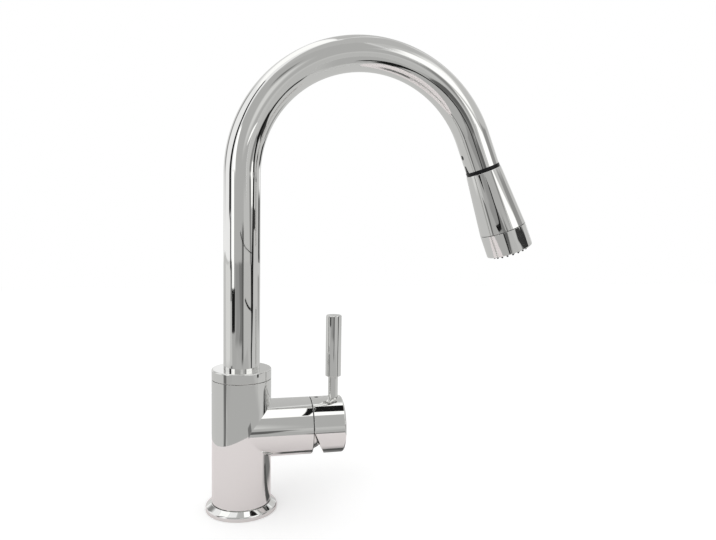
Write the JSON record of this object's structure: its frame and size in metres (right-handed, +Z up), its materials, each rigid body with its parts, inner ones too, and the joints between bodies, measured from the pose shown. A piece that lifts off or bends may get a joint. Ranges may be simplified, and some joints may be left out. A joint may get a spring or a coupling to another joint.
{
  "type": "pull-out kitchen faucet",
  "caption": "Single-lever gooseneck kitchen faucet with a round side valve housing and a pull-out spray head on a hose.",
  "frame": {"origin": "on the deck, under the middle of the body", "axes": "+Z up, +X from the body towards the spout's end and along the valve housing; shown with the water shut, the lever upright and the spray head docked"},
  "size_m": [0.2708, 0.0556, 0.4275],
  "materials": {
    "chrome": "polished chrome",
    "steel": "stainless steel",
    "brass": "turned brass",
    "black_rubber": "smooth black rubber",
    "black_plastic": "black moulded plastic",
    "face_rubber": "matte black rubber",
    "white_plastic": "white moulded plastic",
    "grey_plastic": "dark grey moulded plastic",
    "ceramic": "lapped white ceramic",
    "hose_braid": "grey braided nylon"
  },
  "bodies": {
    "base": {"base_flange": "chrome", "base_seal": "black_rubber", "faucet_body": "chrome", "mounting_studs": "steel", "clamp_gasket": "black_rubber", "clamp_bracket": "steel", "stud_nuts": "steel", "spout_stop_screw": "steel", "thrust_washer": "white_plastic", "cartridge_seals": "black_rubber", "cartridge_base": "white_plastic", "fixed_disc": "ceramic", "cartridge_shell": "white_plastic", "bonnet_nut": "chrome"},
    "spout": {"swivel_collar": "chrome", "swivel_bush_upper": "white_plastic", "swivel_bush_lower": "white_plastic", "spout_tube": "chrome", "docking_insert": "black_plastic", "pull_hose": "hose_braid", "hose_plug": "brass", "plug_seals": "black_rubber"},
    "head": {"hose_ferrule": "brass", "hose_nut": "brass", "inlet_washer": "black_rubber", "check_valve": "white_plastic", "head_shell": "chrome", "head_core": "grey_plastic", "core_seal": "black_rubber", "nozzle_screw": "steel"},
    "nozzle": {"nozzle_collar": "chrome", "nozzle_body": "grey_plastic", "spray_face": "face_rubber", "aerator_shell": "grey_plastic", "aerator_screens": "grey_plastic"},
    "turret": {"cartridge_turret": "white_plastic", "stem_pin": "steel"},
    "valve_disc": {"disc_carrier": "white_plastic", "moving_disc": "ceramic"},
    "lever": {"valve_stem": "brass", "handle_cap": "chrome", "index_plug": "black_plastic", "lever_neck": "chrome", "lever_grip": "chrome"}
  },
  "joints": [
    {"name": "spout_swivel", "type": "hinge", "parent": "base", "child": "spout", "pos_m": [0, 0, 0.0942], "axis": [0, 0, 1], "continuous": true},
    {"name": "spray_pull", "type": "slide", "parent": "spout", "child": "head", "axis": [0.3697, 0, -0.9291], "range_m": [0, 0.4], "stiffness_N_per_m": 5, "springref_m": -0.8, "deforming": ["pull_hose"]},
    {"name": "nozzle_twist", "type": "hinge", "parent": "head", "child": "nozzle", "pos_m": [0.1977, 0, 0.27389], "axis": [0.3697, 0, -0.9291], "range_deg": [0, 60]},
    {"name": "lever_turn", "type": "hinge", "parent": "base", "child": "turret", "pos_m": [0.05, 0, 0.0633], "axis": [1, 0, 0], "range_deg": [-45, 45]},
    {"name": "lever_tilt", "type": "hinge", "parent": "turret", "child": "lever", "pos_m": [0.05, 0, 0.0633], "axis": [0, 1, 0], "range_deg": [0, 23]},
    {"name": "disc_slide", "type": "slide", "parent": "turret", "child": "valve_disc", "axis": [0, 0, 1], "range_m": [0, 0.0042]}
  ],
  "couplings": [
    {"joint": "disc_slide", "follows": "lever_tilt", "m_per_rad": 0.0104}
  ]
}
